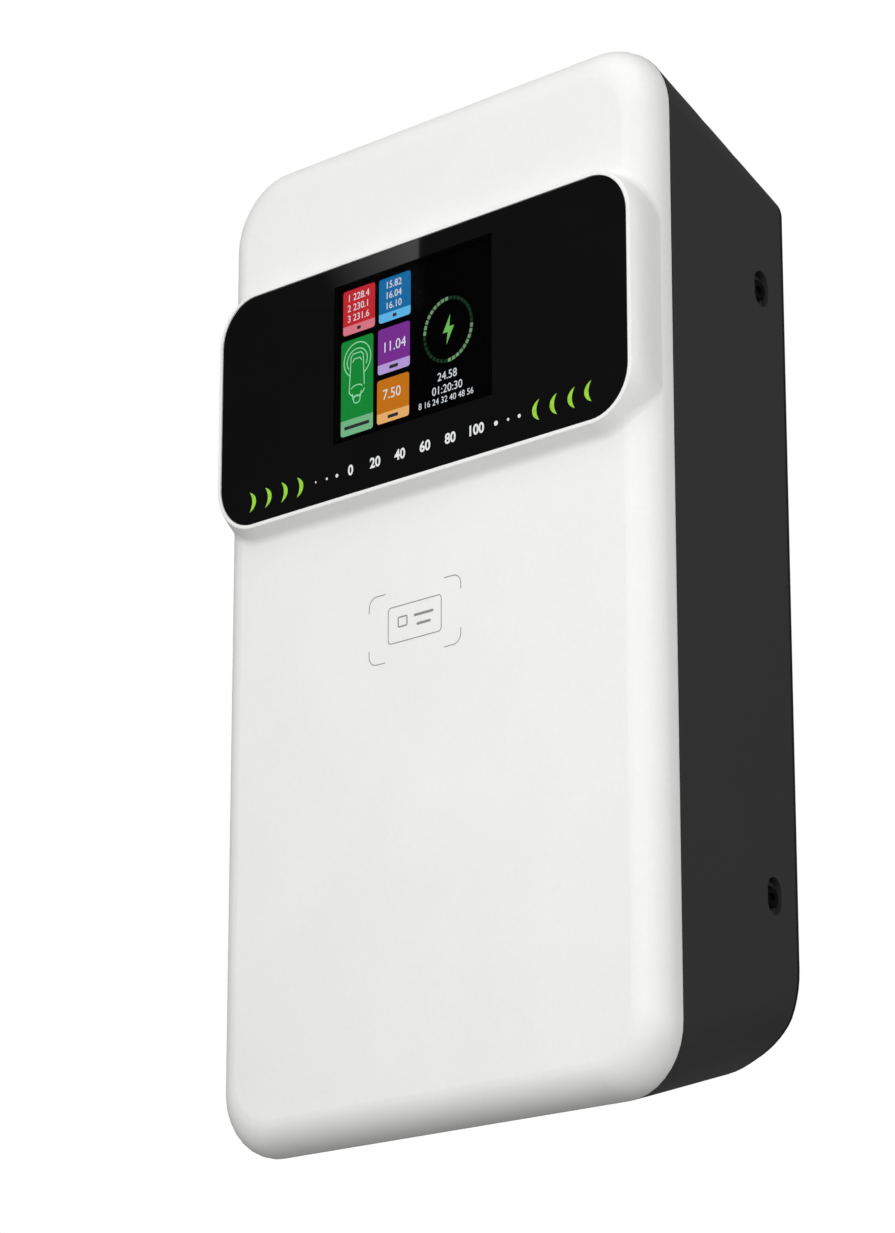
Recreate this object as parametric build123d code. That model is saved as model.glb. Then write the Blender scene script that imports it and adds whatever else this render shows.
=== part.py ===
from build123d import *
import os

# Wall box that charges an electric car, in millimetres.
# X runs across the front, Z runs up, and the wall is the plane Y = 0.
# A depth is a distance in front of the wall, so depth d lies at Y = -d.

# Whole box
overall_width = 200.0
overall_height = 350.0
housing_depth = 70.0
cover_depth = 12.0
bar_raise = 5.0
front_corner_radius = 37.0
wall = 3.0

# Rear housing, which narrows towards the wall
side_inset = 12.0
top_drop = 12.0
bottom_rise = 16.0
wall_top_radius = 9.0
wall_bottom_radius = 34.0
wall_seal_thickness = 1.5
wall_seal_width = 2.4
floor_back = 26.0
lip_width = 8.0
lip_thickness = 5.0
seal_inset = 3.4
seal_width = 2.4
seal_groove_depth = 1.8
seal_side_gap = 0.2
sharpest_corner = 1.0

# Screw columns that hold the cover from behind
column_radius = 5.0
column_side_inset = 20.0
column_top_inset = 27.0
column_pocket_gap = 2.0
column_middle_inset = 24.0
column_middle_z = 0.0
screw_seat_depth = 57.0

# Recess under the housing that hides the cable glands
pocket_half_width = 58.0
pocket_height = 35.0
pocket_front = 65.0

# Oval screw recesses in the housing sides
side_screw_end_margin = 21.5
side_screw_depth = 14.5
side_recess_width = 8.4
side_recess_height = 12.6
side_recess_floor = 2.2
side_boss_radius = 8.5
side_slot_travel = 3.0

# Front cover
seam_gap = 0.3
cover_edge_radius = 11.0
land_thickness = 4.0
cover_boss_radius = 5.0
rib_thickness = 1.6
rib_height = 4.0
rib_count = 5
rib_bottom_inset = 17.0
rib_reader_gap = 9.8
rib_side_inset = 32.0

# Raised display bar and its black lens
lens_side_inset = 4.6
lens_height = 83.4
lens_top_inset = 49.1
lens_corner_radius = 16.0
lens_thickness = 2.0
lens_recess = 0.2
lens_gap = 0.15
lens_edge_radius = 0.3
lens_tape_thickness = 0.5
lens_tape_width = 3.0
rim_width = 1.4
bar_side_step = 0.6
bar_top_draft = 0.3
bar_chin_flare = 3.6
bar_foot_radius = 3.0
bar_rim_radius = 0.5
bar_depth_shares = (0, 0.45, 0.8, 1)
bar_roll_shares = (1, 0.9, 0.55, 0)
ledge_thickness = 2.5
bar_cavity_margin = 2.0

# Screen behind the lens
screen_width = 76.0
screen_height = 60.0
screen_thickness = 4.0
screen_rise = 4.8
screen_window_gap = 0.5
screen_lens_gap = 0.3
screen_seat = 3.0
carrier_wall = 3.0
display_board_side_gap = 9.4
display_board_end_gap = 2.7
board_thickness = 1.6
display_board_depth = 76.2
display_screw_side_margin = 6.0
display_screw_end_margin = 16.0

# Light guides that shine through the lens beside the number scale
guide_end_inset = 12.0
guide_drop = 34.2
guide_width = 32.0
guide_height = 8.4
guide_gap = 0.3
guide_foot_step = 1.0
guide_foot_height = 1.0

# Card reader board behind the printed mark
reader_x = -2.5
reader_drop = 90.4
reader_width = 62.0
reader_height = 44.0
reader_standoff = 3.0
reader_screw_margin = 5.0

# Main board and its standoffs
board_column_gap = 2.0
board_bottom_gap = 20.0
board_top_inset = 66.0
board_corner_radius = 3.0
board_standoff = 6.0
board_screw_margin = 6.0
board_screw_rows = 3
standoff_radius = 4.0

# Parts on the main board, with their places as shares of its width and height
relay_width = 29.0
relay_height = 22.0
relay_depth = 26.0
relay_pitch = 32.0
relay_count = 4
relay_rise_share = -0.106
relay_edge = 1.2
sensor_radius = 16.0
sensor_bore_radius = 8.5
sensor_thickness = 16.0
sensor_foot_width = 30.0
sensor_x_share = 0.217
sensor_rise_share = -0.257
terminal_pitch = 11.0
terminal_poles = 5
terminal_height = 25.0
terminal_depth = 24.0
terminal_step_depth = 14.0
terminal_step_height = 9.0
terminal_pair_gap = 9.0
terminal_rise_share = -0.4
terminal_bore_radius = 4.0
terminal_bore_reach = 14.0
terminal_well_radius = 3.4
terminal_well_reach = 9.0
supply_width = 48.0
supply_height = 36.0
supply_depth = 24.0
supply_x_share = -0.261
supply_rise_share = 0.097
supply_edge = 2.0
supply_cap_step = 1.5
capacitor_radius = 8.0
capacitor_height = 26.0
capacitor_pitch = 20.0
capacitor_count = 3
capacitor_x_share = 0.087
capacitor_rise_share = 0.071
capacitor_groove = 0.6
capacitor_edge = 1.0
choke_radius = 15.0
choke_bore_radius = 6.5
choke_thickness = 14.0
choke_base_thickness = 2.0
choke_base_size = 34.0
choke_x_share = 0.275
choke_rise_share = 0.248
choke_slots = 12
choke_slot_radius = 1.1
arrester_radius = 7.0
arrester_thickness = 5.0
arrester_pitch = 12.0
arrester_count = 3
arrester_x_share = -0.406
arrester_rise_share = -0.248
arrester_lead_radius = 0.5
arrester_lead_length = 3.0
arrester_lead_spread = 5.0
radio_width = 26.0
radio_height = 18.0
radio_x_share = -0.217
radio_rise_share = 0.363
radio_can_height = 2.6
radio_can_margin = 1.2
radio_board_thickness = 0.8
radio_can_edge = 0.5
header_width = 22.0
header_height = 7.0
header_depth = 9.0
header_wall = 1.0
header_floor = 2.0
header_x_share = 0.058
header_pitch = 28.0
header_rise_share = 0.434

# Cable glands, one large pair for power and a small one for data
power_gland_x = 36.0
gland_depth = 47.0
power_thread_radius = 12.5
power_hex_flats = 30.0
power_cable_radius = 8.5
data_thread_radius = 8.0
data_hex_flats = 20.0
data_cable_radius = 3.5
gland_hole_gap = 0.3
gland_hex_height = 5.0
gland_washer_thickness = 1.2
gland_dome_height = 15.0
gland_dome_taper = 3.0
gland_seal_wall = 1.8
gland_neck_reach = 9.0
locknut_height = 4.5
gland_stub = 2.0
gland_fit = 0.05
gland_mouth_gap = 0.8

# Folded wall bracket
bracket_thickness = 2.0
bracket_side_gap = 0.5
bracket_end_inset = 50.0
bracket_flange = 24.0
bracket_bend_radius = 2.0
bracket_flange_trim = 7.0
bolt_spacing_x = 100.0
bolt_end_margin = 25.0
bolt_hole_radius = 4.5
bracket_window_width = 90.0
bracket_window_height = 130.0
bracket_window_radius = 12.0

# Screws
screw_gap = 0.05
m4_radius = 2.0
m4_head_radius = 3.7
m4_head_height = 2.4
m4_clearance_radius = 2.3
m4_access_radius = 4.2
m4_socket_flats = 2.5
cover_screw_length = 20.0
side_screw_length = 9.0
press_nut_radius = 4.2
press_nut_height = 3.0
m3_radius = 1.5
m3_head_radius = 2.8
m3_head_height = 1.8
m3_socket_flats = 2.0
m3_length = 6.0
head_edge_share = 0.3
socket_depth_share = 0.55

# One overrun for every cut that leaves a face
overrun = 1.0

# Sizes that follow from those above
half_width = overall_width / 2
half_height = overall_height / 2
floor_front = floor_back + wall
lip_back = housing_depth - lip_thickness
cover_back = housing_depth + seam_gap
cover_front = housing_depth + cover_depth
cover_inner = cover_front - wall
land_front = cover_back + land_thickness
bar_front = cover_front + bar_raise
lens_front = bar_front - lens_recess
lens_back = lens_front - lens_thickness
ledge_front = lens_back - lens_tape_thickness
ledge_back = ledge_front - ledge_thickness
screen_front = lens_back - screen_lens_gap
screen_back = screen_front - screen_thickness
display_board_front = display_board_depth + board_thickness
board_back = floor_front + board_standoff
board_front = board_back + board_thickness
pocket_ceiling_z = pocket_height - half_height
pocket_roof_z = pocket_ceiling_z + wall
column_x = half_width - column_side_inset
column_top_z = half_height - column_top_inset
column_bottom_z = pocket_roof_z + column_radius + column_pocket_gap
column_middle_x = half_width - column_middle_inset
lens_half_width = half_width - lens_side_inset
bar_end_roll = lens_side_inset - rim_width - bar_side_step
lens_center_z = half_height - lens_top_inset - lens_height / 2
screen_center_z = lens_center_z + screen_rise
display_board_width = 2 * (lens_half_width - display_board_side_gap)
display_board_height = lens_height - 2 * display_board_end_gap
guide_center_x = lens_half_width - guide_end_inset - guide_width / 2
guide_z = lens_center_z - guide_drop
reader_z = lens_center_z - reader_drop
rib_low_z = rib_bottom_inset - half_height
rib_high_z = reader_z - reader_height / 2 - rib_reader_gap
rib_pitch = (rib_high_z - rib_low_z) / (rib_count - 1)
rib_field_half_width = half_width - rib_side_inset
board_width = 2 * (column_middle_x - column_radius - board_column_gap)
board_bottom_z = pocket_roof_z + board_bottom_gap
board_top_z = half_height - board_top_inset
board_height = board_top_z - board_bottom_z
board_center_z = (board_top_z + board_bottom_z) / 2
bracket_half_width = half_width - side_inset - wall - bracket_side_gap
bracket_height = overall_height - 2 * bracket_end_inset
bolt_spacing_z = bracket_height - 2 * bolt_end_margin
side_screw_z = bracket_height / 2 - side_screw_end_margin
column_spots = [
    (column_x, column_top_z),
    (-column_x, column_top_z),
    (column_x, column_bottom_z),
    (-column_x, column_bottom_z),
    (column_middle_x, column_middle_z),
    (-column_middle_x, column_middle_z),
]
glands = [
    (-power_gland_x, power_thread_radius, power_hex_flats, power_cable_radius),
    (0, data_thread_radius, data_hex_flats, data_cable_radius),
    (power_gland_x, power_thread_radius, power_hex_flats, power_cable_radius),
]


def on_board(x_share, rise_share):
    """Place on the main board, from its middle."""
    return x_share * board_width, board_center_z + rise_share * board_height


sensor_x, sensor_z = on_board(sensor_x_share, sensor_rise_share)
supply_x, supply_z = on_board(supply_x_share, supply_rise_share)
capacitor_x, capacitor_z = on_board(capacitor_x_share, capacitor_rise_share)
choke_x, choke_z = on_board(choke_x_share, choke_rise_share)
arrester_x, arrester_z = on_board(arrester_x_share, arrester_rise_share)
radio_x, radio_z = on_board(radio_x_share, radio_rise_share)
header_x, header_z = on_board(header_x_share, header_rise_share)
relay_z = on_board(0, relay_rise_share)[1]
terminal_x = (terminal_pitch * terminal_poles + terminal_pair_gap) / 2
terminal_z = on_board(0, terminal_rise_share)[1]


def at_depth(depth):
    """Drawing plane parallel to the wall, at a distance in front of it."""
    return Plane.XZ.offset(depth)


def layer(outline, near, far):
    """Outline drawn in X and Z, given thickness between two depths."""
    return extrude(at_depth(near) * outline, amount=far - near)


def rod(x, z, radius, near, far):
    """Round rod square to the wall."""
    return layer(Pos(x, z) * Circle(radius), near, far)


def block(left, right, bottom, top, near, far):
    """Square block between its left, right, lower, upper, near and far faces."""
    size = Box(right - left, far - near, top - bottom)
    return Pos((left + right) / 2, -(near + far) / 2, (bottom + top) / 2) * size


def rounded_plate(width, height, radius, x=0, z=0):
    """Rounded rectangle centred on a point of the front."""
    return Pos(x, z) * RectangleRounded(width, height, radius)


def front_edges(solid):
    """Edges of the face that is furthest from the wall."""
    return solid.faces().sort_by(Axis.Y)[0].edges()


def turned(points):
    """Solid of revolution about Z from a closed half section."""
    return revolve(make_face(Plane.XZ * Polyline(*points, close=True)), Axis.Z)


def hexagon(flats):
    """Hexagon drawn by the distance across its flats."""
    return RegularPolygon(flats / 2, 6, major_radius=False)


def socket_screw(radius, length, head_radius, head_height, socket_flats):
    """Socket screw with its seat at the origin and its head towards +Z."""
    head = extrude(Circle(head_radius), amount=head_height)
    head = chamfer(head.edges().group_by(Axis.Z)[-1], head_height * head_edge_share)
    shank = extrude(Circle(radius), amount=-length)
    socket_depth = head_height * socket_depth_share
    socket = extrude(Plane.XY.offset(head_height - socket_depth) * hexagon(socket_flats), amount=head_height)
    return head + shank - socket


def m4_screw(length):
    """Screw of the size that holds the cover and the sides."""
    return socket_screw(m4_radius, length, m4_head_radius, m4_head_height, m4_socket_flats)


def m3_screw(length):
    """Screw of the size that holds the boards."""
    return socket_screw(m3_radius, length, m3_head_radius, m3_head_height, m3_socket_flats)


def group(solids):
    """Like pieces kept as separate solids of one node."""
    return Compound(children=list(solids))


def housing_section(depth, inset):
    """Section of the tapered housing at a depth, drawn in from its outside."""
    share = depth / housing_depth
    section_half_width = half_width - side_inset * (1 - share) - inset
    top = half_height - top_drop * (1 - share) - inset
    bottom = bottom_rise * (1 - share) - half_height + inset
    top_radius = wall_top_radius + (front_corner_radius - wall_top_radius) * share - inset
    bottom_radius = wall_bottom_radius + (front_corner_radius - wall_bottom_radius) * share - inset
    plate = Pos(0, (top + bottom) / 2) * Rectangle(2 * section_half_width, top - bottom)
    plate = fillet(plate.vertices().group_by(Axis.Y)[-1], max(top_radius, sharpest_corner))
    return fillet(plate.vertices().group_by(Axis.Y)[0], max(bottom_radius, sharpest_corner))


def tapered(near, far, inset):
    """Tapered block of the housing between two depths."""
    sections = [at_depth(depth) * housing_section(depth, inset) for depth in (near, far)]
    return loft(sections, ruled=True)


def side_plane(side, z, depth, distance):
    """Drawing plane on one side of the box, facing outwards, with its X axis up."""
    return Plane(origin=(side * distance, -depth, z), x_dir=(0, 0, 1), z_dir=(side, 0, 0))


def side_half_width(depth):
    """Half width of the housing at a depth."""
    return half_width - side_inset * (1 - depth / housing_depth)


# Places of the four side screws
side_spots = [(side, z) for side in (-1, 1) for z in (-side_screw_z, side_screw_z)]
side_pad_face = bracket_half_width + seam_gap
side_screw_seat = side_pad_face + side_recess_floor


# Rear housing: a drafted shell with a bracket recess behind and a cable recess below
def make_rear_housing():
    outside = tapered(wall_seal_thickness, housing_depth, 0)
    shell = outside - tapered(wall_seal_thickness - overrun, floor_back, wall)
    shell -= tapered(floor_front, lip_back, wall)
    shell -= tapered(lip_back - overrun, housing_depth + overrun, lip_width)
    recess_walls = block(
        -pocket_half_width - wall, pocket_half_width + wall,
        -half_height, pocket_roof_z, floor_back, pocket_front + wall)
    shell += recess_walls & outside
    for side, z in side_spots:
        pad_length = side_half_width(side_screw_depth) - side_pad_face
        pad = extrude(side_plane(side, z, side_screw_depth, side_pad_face) * Circle(side_boss_radius),
                      amount=pad_length)
        shell += pad & outside
    for x, z in column_spots:
        shell += rod(x, z, column_radius, floor_back, housing_depth)
    for x, z in board_spots:
        shell += rod(x, z, standoff_radius, floor_back, board_back)
    shell -= block(
        -pocket_half_width, pocket_half_width,
        -half_height - overrun, pocket_ceiling_z, floor_front, pocket_front)
    groove_floor = housing_depth - seal_groove_depth
    groove = tapered(groove_floor, housing_depth + overrun, seal_inset - seal_side_gap)
    groove -= tapered(groove_floor, housing_depth + overrun, seal_inset + seal_width + seal_side_gap)
    shell -= groove
    for x, z in column_spots:
        shell -= rod(x, z, m4_access_radius, floor_back - overrun, screw_seat_depth)
        shell -= rod(x, z, m4_clearance_radius, floor_back, housing_depth + overrun)
    for x, z in board_spots:
        shell -= rod(x, z, m3_radius + screw_gap, floor_front, board_back + overrun)
    for x, thread_radius, flats, cable_radius in glands:
        hole = Cylinder(thread_radius + gland_hole_gap, 2 * (wall + overrun))
        shell -= Pos(x, -gland_depth, pocket_ceiling_z + wall / 2) * hole
    for side, z in side_spots:
        recess = SlotOverall(side_recess_height, side_recess_width)
        slot = SlotCenterToCenter(side_slot_travel, 2 * m4_clearance_radius)
        shell -= extrude(side_plane(side, z, side_screw_depth, side_screw_seat) * recess, amount=side_inset)
        shell -= extrude(side_plane(side, z, side_screw_depth, side_pad_face - overrun) * slot,
                         amount=side_inset)
    return shell


# Rubber ring between the housing and the wall
def make_wall_seal():
    ring = tapered(0, wall_seal_thickness, 0)
    return ring - tapered(-overrun, wall_seal_thickness + overrun, wall_seal_width)


# Rubber ring in the housing lip, pressed by the cover
def make_cover_seal():
    near = housing_depth - seal_groove_depth
    ring = tapered(near, cover_back, seal_inset)
    return ring - tapered(near - overrun, cover_back + overrun, seal_inset + seal_width)


def cover_outline(inset):
    """Outline of the front cover, drawn in from its outside."""
    return RectangleRounded(
        overall_width - 2 * inset, overall_height - 2 * inset, front_corner_radius - inset)


def lens_outline(grow):
    """Outline of the black lens, grown all round."""
    return rounded_plate(
        2 * (lens_half_width + grow), lens_height + 2 * grow, lens_corner_radius + grow, 0, lens_center_z)


def bar_section(depth_share, roll_share):
    """Section of the display bar at a share of the way from its root to its rim."""
    depth = land_front + (bar_front - land_front) * depth_share
    back = (bar_front - depth) / bar_raise
    above = rim_width + bar_top_draft * back
    below = rim_width + bar_chin_flare * back
    ends = rim_width + bar_end_roll * roll_share
    middle_z = lens_center_z + (above - below) / 2
    plate = rounded_plate(
        2 * (lens_half_width + ends), lens_height + above + below, lens_corner_radius + ends, 0, middle_z)
    return at_depth(depth) * plate


# Front cover: a soft-edged moulded shell with the display bar standing proud of it.
# The bar has a steep top, a flared chin and ends that roll into the sides.
def make_front_cover():
    body = layer(cover_outline(0), cover_back, cover_front)
    body = fillet(front_edges(body), cover_edge_radius)
    bar = loft([bar_section(*shares) for shares in zip(bar_depth_shares, bar_roll_shares)])
    joined = body + bar
    body = fillet(new_edges(body, bar, combined=joined), bar_foot_radius)
    body = fillet(front_edges(body), bar_rim_radius)
    hollow = layer(cover_outline(wall), cover_back - land_thickness, cover_inner)
    hollow = fillet(front_edges(hollow), cover_edge_radius - wall)
    body -= hollow & layer(cover_outline(0), land_front, cover_front)
    body -= layer(cover_outline(lip_width), cover_back - overrun, land_front + overrun)
    body -= layer(lens_outline(-bar_cavity_margin), cover_back, ledge_back)
    for x, z in column_spots:
        body += rod(x, z, cover_boss_radius, cover_back, cover_inner + wall / 2)
        screw_end = screw_seat_depth + cover_screw_length
        body -= rod(x, z, m4_radius + screw_gap, cover_back - overrun, screw_end)
    for x, z in reader_spots:
        body += rod(x, z, m3_head_radius, cover_inner - reader_standoff, cover_inner + wall / 2)
        body -= rod(x, z, m3_radius + screw_gap, cover_inner - reader_standoff - overrun, cover_inner)
    for x, z in display_spots:
        body += rod(x, z, m3_head_radius, display_board_front, ledge_back + ledge_thickness / 2)
        body -= rod(x, z, m3_radius + screw_gap, display_board_front - overrun, ledge_back)
    for row in range(rib_count):
        z = rib_low_z + row * rib_pitch
        body += block(-rib_field_half_width, rib_field_half_width, z - rib_thickness / 2,
                      z + rib_thickness / 2, cover_inner - rib_height, cover_inner + wall / 2)
    for side in (-1, 0, 1):
        x = side * rib_field_half_width / 2
        body += block(x - rib_thickness / 2, x + rib_thickness / 2, rib_low_z,
                      rib_low_z + (rib_count - 1) * rib_pitch, cover_inner - rib_height,
                      cover_inner + wall / 2)
    body -= layer(lens_outline(lens_gap), ledge_front, bar_front + overrun)
    body -= block(
        -screen_width / 2 - screen_window_gap, screen_width / 2 + screen_window_gap,
        screen_center_z - screen_height / 2 - screen_window_gap,
        screen_center_z + screen_height / 2 + screen_window_gap, ledge_back - overrun, bar_front)
    for side in (-1, 1):
        window = rounded_plate(
            guide_width + 2 * guide_gap, guide_height + 2 * guide_gap,
            guide_height / 4, side * guide_center_x, guide_z)
        body -= layer(window, ledge_back - overrun, bar_front)
    return body


# Black acrylic lens
def make_display_lens():
    lens = layer(lens_outline(0), lens_back, lens_front)
    return fillet(front_edges(lens), lens_edge_radius)


# Double-sided tape that holds the lens
def make_lens_tape():
    return layer(lens_outline(0) - lens_outline(-lens_tape_width), ledge_front, lens_back)


# Screen and its carrier, on the display board
def make_screen_panel():
    return layer(Pos(0, screen_center_z) * Rectangle(screen_width, screen_height), screen_back, screen_front)


def make_screen_carrier():
    gap = guide_gap
    outer = Rectangle(screen_width + 2 * (gap + carrier_wall), screen_height + 2 * (gap + carrier_wall))
    pocket = Rectangle(screen_width + 2 * gap, screen_height + 2 * gap)
    opening = Rectangle(screen_width - 2 * screen_seat, screen_height - 2 * screen_seat)
    frame = Pos(0, screen_center_z) * (outer - opening)
    carrier = layer(frame, display_board_front, ledge_back - gap)
    return carrier - layer(Pos(0, screen_center_z) * pocket, screen_back, ledge_back)


display_spots = [
    (side_x * (display_board_width / 2 - display_screw_side_margin),
     lens_center_z + side_z * (display_board_height / 2 - display_screw_end_margin))
    for side_x in (-1, 1) for side_z in (-1, 1)
]
reader_spots = [
    (reader_x + side_x * (reader_width / 2 - reader_screw_margin),
     reader_z + side_z * (reader_height / 2 - reader_screw_margin))
    for side_x in (-1, 1) for side_z in (-1, 1)
]
board_screw_pitch = (board_height - 2 * board_screw_margin) / (board_screw_rows - 1)
board_spots = [
    (side * (board_width / 2 - board_screw_margin),
     board_bottom_z + board_screw_margin + row * board_screw_pitch)
    for side in (-1, 1) for row in range(board_screw_rows)
]


def make_board(width, height, x, z, near, spots):
    """Circuit board with its screw holes."""
    outline = rounded_plate(width, height, board_corner_radius, x, z)
    for spot_x, spot_z in spots:
        outline -= Pos(spot_x, spot_z) * Circle(m3_radius + guide_gap)
    return layer(outline, near, near + board_thickness)


def make_display_board():
    return make_board(
        display_board_width, display_board_height, 0, lens_center_z, display_board_depth, display_spots)


def make_light_guide(side):
    """Clear block with a foot on the board and its face against the lens."""
    x = side * guide_center_x
    stem = rounded_plate(guide_width, guide_height, guide_height / 4, x, guide_z)
    foot_width = guide_width + 2 * guide_foot_step
    foot = rounded_plate(foot_width, guide_height + 2 * guide_foot_step, guide_height / 4, x, guide_z)
    guide = layer(stem, display_board_front, lens_back)
    return guide + layer(foot, display_board_front, display_board_front + guide_foot_height)


def screws_from_behind(spots, seat_depth, screw):
    """Screws whose heads face the wall, seated at one depth."""
    return group(Plane(origin=(x, -seat_depth, z), z_dir=(0, 1, 0)) * screw for x, z in spots)


# Card reader board behind the front wall
reader_front = cover_inner - reader_standoff


def make_reader_board():
    return make_board(
        reader_width, reader_height, reader_x, reader_z, reader_front - board_thickness, reader_spots)


# Main board on its standoffs, with the screws facing the front
def make_main_board():
    return make_board(board_width, board_height, 0, board_center_z, board_back, board_spots)


def make_board_screws():
    screw = m3_screw(m3_length)
    return group(Plane(origin=(x, -board_front, z), z_dir=(0, -1, 0)) * screw for x, z in board_spots)


# Power relays in a row
def make_power_relays():
    relays = []
    for index in range(relay_count):
        x = (index - (relay_count - 1) / 2) * relay_pitch
        case = block(x - relay_width / 2, x + relay_width / 2, relay_z - relay_height / 2,
                     relay_z + relay_height / 2, board_front, board_front + relay_depth)
        case = fillet(front_edges(case), relay_edge)
        relays.append(case)
    return group(relays)


# Ring sensor that the power wires pass through
def make_current_sensor():
    center = board_front + sensor_radius
    ring = Pos(0, -center) * Circle(sensor_radius)
    foot = Pos(0, -(board_front + sensor_radius / 2)) * Rectangle(sensor_foot_width, sensor_radius)
    outline = ring + foot - Pos(0, -center) * Circle(sensor_bore_radius)
    low = Plane.XY.offset(sensor_z - sensor_thickness / 2)
    return Pos(sensor_x, 0, 0) * extrude(low * outline, amount=sensor_thickness)


# Stepped terminal blocks with a funnel and a screw well for each wire
def make_terminal(side):
    half = terminal_pitch * terminal_poles / 2
    x = side * terminal_x
    top = terminal_z + terminal_height / 2
    bottom = terminal_z - terminal_height / 2
    case = block(x - half, x + half, bottom, top, board_front, board_front + terminal_depth)
    case -= block(x - half - overrun, x + half + overrun, top - terminal_step_height, top + overrun,
                  board_front + terminal_step_depth, board_front + terminal_depth + overrun)
    for spot_x in terminal_pole_places(side):
        funnel = extrude(
            Plane(origin=(spot_x, -board_front - terminal_depth / 2, bottom - overrun), z_dir=(0, 0, 1))
            * Circle(terminal_bore_radius), amount=terminal_bore_reach + overrun)
        case -= funnel
        well_floor = board_front + terminal_depth - terminal_well_reach
        case -= rod(spot_x, terminal_screw_z, terminal_well_radius, well_floor,
                    board_front + terminal_depth + overrun)
    return case


terminal_screw_z = terminal_z - terminal_height / 2 + (terminal_height - terminal_step_height) / 2


def terminal_pole_places(side):
    """Places of the poles of one terminal block along X."""
    return [side * terminal_x + (pole - (terminal_poles - 1) / 2) * terminal_pitch
            for pole in range(terminal_poles)]


def make_terminal_screws():
    screws = []
    well_floor = board_front + terminal_depth - terminal_well_reach
    for side in (-1, 1):
        for x in terminal_pole_places(side):
            head = rod(x, terminal_screw_z, m3_head_radius, well_floor, well_floor + m3_head_height)
            slot = block(x - m3_head_radius, x + m3_head_radius, terminal_screw_z - m3_radius / 4,
                         terminal_screw_z + m3_radius / 4, well_floor + m3_head_height / 2,
                         well_floor + 2 * m3_head_height)
            screws.append(head - slot)
    return group(screws)


# Potted supply module with a stepped lid
def make_supply_module():
    near = board_front
    far = board_front + supply_depth
    case = layer(rounded_plate(supply_width, supply_height, supply_edge, supply_x, supply_z), near, far)
    lid = rounded_plate(supply_width - 2 * supply_edge, supply_height - 2 * supply_edge,
                        supply_edge, supply_x, supply_z)
    return case + layer(lid, far, far + supply_cap_step)


# Filter capacitors, each with the rolled groove near its foot
def make_filter_capacitors():
    cans = []
    for index in range(capacitor_count):
        x = capacitor_x + index * capacitor_pitch
        can = rod(x, capacitor_z, capacitor_radius, board_front, board_front + capacitor_height)
        can = chamfer(front_edges(can), capacitor_edge)
        near = board_front + capacitor_radius / 2
        ring = Pos(x, capacitor_z) * (Circle(capacitor_radius + overrun)
                                      - Circle(capacitor_radius - capacitor_groove))
        cans.append(can - layer(ring, near, near + capacitor_edge))
    return group(cans)


# Wound choke on its base
def make_line_choke():
    base_edge = choke_base_size / 2
    base = block(choke_x - base_edge, choke_x + base_edge, choke_z - base_edge, choke_z + base_edge,
                 board_front, board_front + choke_base_thickness)
    near = board_front + choke_base_thickness
    winding = Circle(choke_radius) - Circle(choke_bore_radius)
    for location in PolarLocations(choke_radius, choke_slots):
        winding -= location * Circle(choke_slot_radius)
    return base + layer(Pos(choke_x, choke_z) * winding, near, near + choke_thickness)


# Surge arresters standing on their two leads
def make_surge_arresters():
    discs = []
    for index in range(arrester_count):
        x = arrester_x + index * arrester_pitch
        center = board_front + arrester_lead_length + arrester_radius
        disc = extrude(
            Plane(origin=(x - arrester_thickness / 2, -center, arrester_z), z_dir=(1, 0, 0))
            * Circle(arrester_radius), amount=arrester_thickness)
        for side in (-1, 1):
            lead_z = arrester_z + side * arrester_lead_spread / 2
            disc += rod(x, lead_z, arrester_lead_radius, board_front, center)
        discs.append(disc)
    return group(discs)


# Radio module with its pressed metal can
def make_radio_module():
    can_near = board_front + radio_board_thickness
    board = layer(rounded_plate(radio_width, radio_height, radio_can_edge, radio_x, radio_z),
                  board_front, can_near)
    can = block(radio_x - radio_width / 2 + radio_can_margin, radio_x + radio_width / 2 - radio_can_margin,
                radio_z - radio_height / 2 + radio_can_margin, radio_z + radio_height / 2 - radio_can_margin,
                can_near, can_near + radio_can_height)
    return board + fillet(front_edges(can), radio_can_edge)


# Open plug headers at the top of the main board
def make_plug_headers():
    headers = []
    for index in range(2):
        x = header_x + index * header_pitch
        case = block(x - header_width / 2, x + header_width / 2, header_z - header_height / 2,
                     header_z + header_height / 2, board_front, board_front + header_depth)
        case -= block(x - header_width / 2 + header_wall, x + header_width / 2 - header_wall,
                      header_z - header_height / 2 + header_wall, header_z + header_height / 2 - header_wall,
                      board_front + header_floor, board_front + header_depth + overrun)
        headers.append(case)
    return group(headers)


# Cable glands: body, washer, seal, dome nut and lock nut, all on one axis
gland_hex_top = -gland_washer_thickness
gland_hex_bottom = gland_hex_top - gland_hex_height


def gland_spot(x):
    """Place of a gland, with its origin on the recess ceiling."""
    return Pos(x, -gland_depth, pocket_ceiling_z)


def gland_body(thread_radius, flats, cable_radius):
    bore = cable_radius + gland_seal_wall + gland_fit
    top = wall + locknut_height + gland_stub
    stem = turned([(bore, gland_hex_bottom), (thread_radius, gland_hex_bottom),
                   (thread_radius, top), (bore, top)])
    neck_bottom = gland_hex_bottom - gland_neck_reach
    neck = turned([(bore, neck_bottom), (thread_radius, neck_bottom),
                   (thread_radius, gland_hex_bottom), (bore, gland_hex_bottom)])
    nut = extrude(Plane.XY.offset(gland_hex_bottom) * (hexagon(flats) - Circle(bore)),
                  amount=gland_hex_height)
    return stem + neck + nut


def gland_washer(thread_radius, flats):
    ring = Circle(flats / 2) - Circle(thread_radius + gland_fit)
    return extrude(Plane.XY.offset(gland_hex_top) * ring, amount=gland_washer_thickness)


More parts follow.
